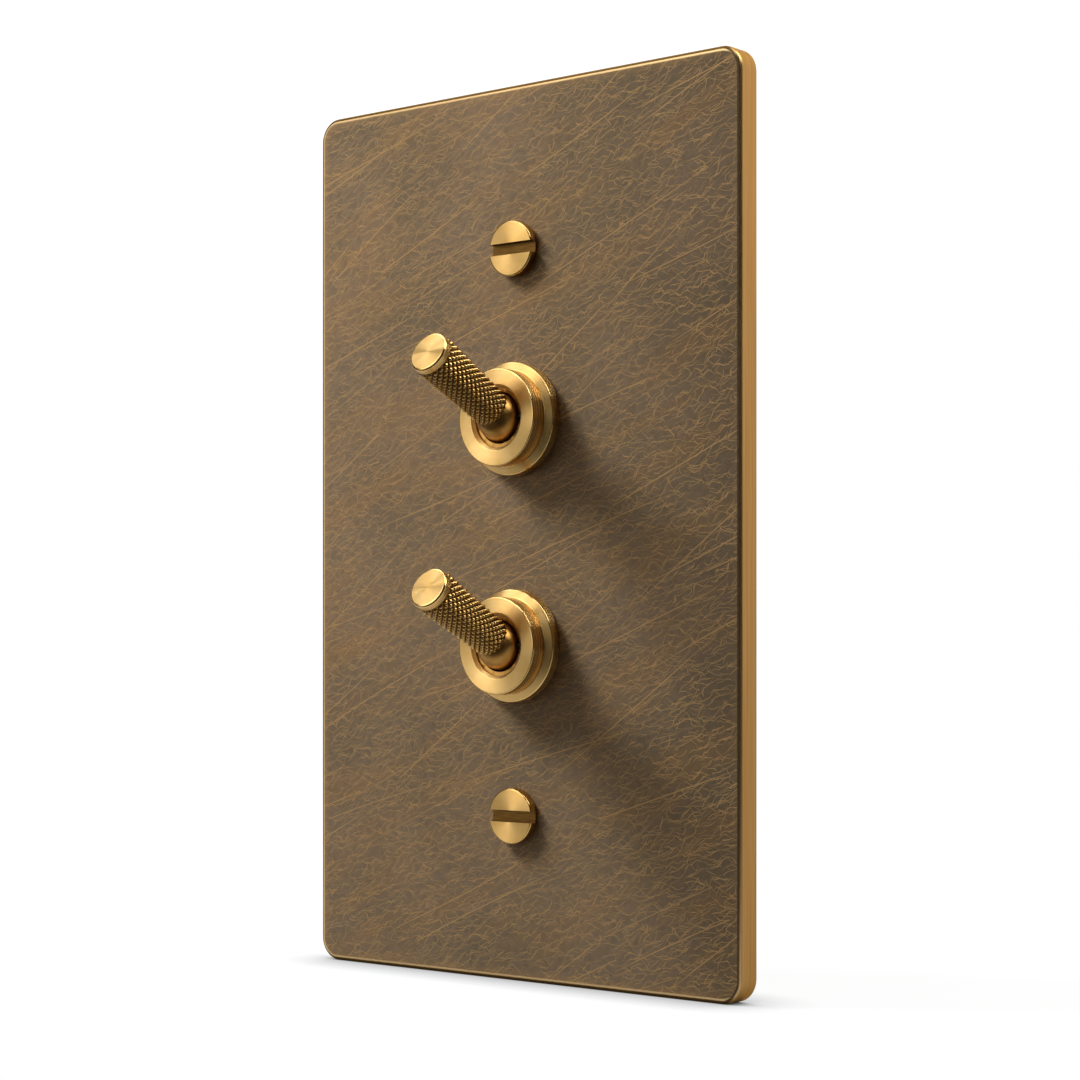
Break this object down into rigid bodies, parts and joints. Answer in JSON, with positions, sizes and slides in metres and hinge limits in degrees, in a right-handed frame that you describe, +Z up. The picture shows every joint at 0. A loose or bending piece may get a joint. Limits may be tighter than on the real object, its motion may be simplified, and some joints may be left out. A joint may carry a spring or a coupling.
{
  "type": "dolly light switch",
  "caption": "Antiqued brass wall plate with knurled brass toggle dollies on stepped collars, slotted cheese-head screws and screw-terminal switches behind.",
  "frame": {"origin": "centre of the plate's back face, on the wall, midway between the plate screws", "axes": "+X right, +Y into the wall, +Z up; the front faces -Y"},
  "size_m": [0.0698, 0.0421, 0.1142],
  "materials": {
    "antiqued_plate": "antiqued, brushed and lacquered",
    "satin_brass": "turned satin",
    "terminal_brass": "machined",
    "plated_steel": "zinc plated",
    "die_cast_zinc": "brass-plated zinc casting",
    "contact_silver": "smooth",
    "nylon": "moulded",
    "phenolic": "moulded"
  },
  "bodies": {
    "base": {"plate": "antiqued_plate", "plate_screws": "satin_brass", "earth_terminal": "terminal_brass", "earth_screw": "plated_steel", "upper_collar": "satin_brass", "upper_dress_nut": "satin_brass", "upper_lock_washer": "plated_steel", "upper_bushing": "die_cast_zinc", "upper_fixed_contacts": "contact_silver", "upper_way_one_terminal": "terminal_brass", "upper_way_two_terminal": "terminal_brass", "upper_common_terminal": "terminal_brass", "upper_terminal_screws": "plated_steel", "upper_case": "phenolic", "upper_case_rivets": "terminal_brass", "lower_collar": "satin_brass", "lower_dress_nut": "satin_brass", "lower_lock_washer": "plated_steel", "lower_bushing": "die_cast_zinc", "lower_fixed_contacts": "contact_silver", "lower_way_one_terminal": "terminal_brass", "lower_way_two_terminal": "terminal_brass", "lower_common_terminal": "terminal_brass", "lower_terminal_screws": "plated_steel", "lower_case": "phenolic", "lower_case_rivets": "terminal_brass"},
    "upper_dolly": {"upper_dolly": "satin_brass", "upper_pivot_pin": "plated_steel", "upper_plunger_spring": "plated_steel"},
    "upper_plunger": {"upper_plunger": "nylon"},
    "upper_rocker": {"upper_rocker_saddle": "nylon", "upper_contact_blade": "terminal_brass", "upper_moving_contacts": "contact_silver"},
    "lower_dolly": {"lower_dolly": "satin_brass", "lower_pivot_pin": "plated_steel", "lower_plunger_spring": "plated_steel"},
    "lower_plunger": {"lower_plunger": "nylon"},
    "lower_rocker": {"lower_rocker_saddle": "nylon", "lower_contact_blade": "terminal_brass", "lower_moving_contacts": "contact_silver"}
  },
  "joints": [
    {"name": "upper_dolly_tilt", "type": "hinge", "parent": "base", "child": "upper_dolly", "pos_m": [0, -0.0061, 0.01443], "axis": [1, 0, 0], "range_deg": [0, 55]},
    {"name": "upper_plunger_slide", "type": "slide", "parent": "upper_dolly", "child": "upper_plunger", "axis": [0, -0.887, 0.4617], "range_m": [0, 0.0008], "stiffness_N_per_m": 400, "springref_m": -0.0005, "deforming": ["upper_plunger_spring"]},
    {"name": "upper_rocker_tilt", "type": "hinge", "parent": "base", "child": "upper_rocker", "pos_m": [0, 0.0037, 0.01443], "axis": [1, 0, 0], "range_deg": [-16, 0]},
    {"name": "lower_dolly_tilt", "type": "hinge", "parent": "base", "child": "lower_dolly", "pos_m": [0, -0.0061, -0.01443], "axis": [1, 0, 0], "range_deg": [0, 55]},
    {"name": "lower_plunger_slide", "type": "slide", "parent": "lower_dolly", "child": "lower_plunger", "axis": [0, -0.887, 0.4617], "range_m": [0, 0.0008], "stiffness_N_per_m": 400, "springref_m": -0.0005, "deforming": ["lower_plunger_spring"]},
    {"name": "lower_rocker_tilt", "type": "hinge", "parent": "base", "child": "lower_rocker", "pos_m": [0, 0.0037, -0.01443], "axis": [1, 0, 0], "range_deg": [-16, 0]}
  ],
  "couplings": [
    {"joint": "upper_rocker_tilt", "follows": "upper_dolly_tilt", "ratio": -0.29091},
    {"joint": "lower_rocker_tilt", "follows": "lower_dolly_tilt", "ratio": -0.29091}
  ]
}
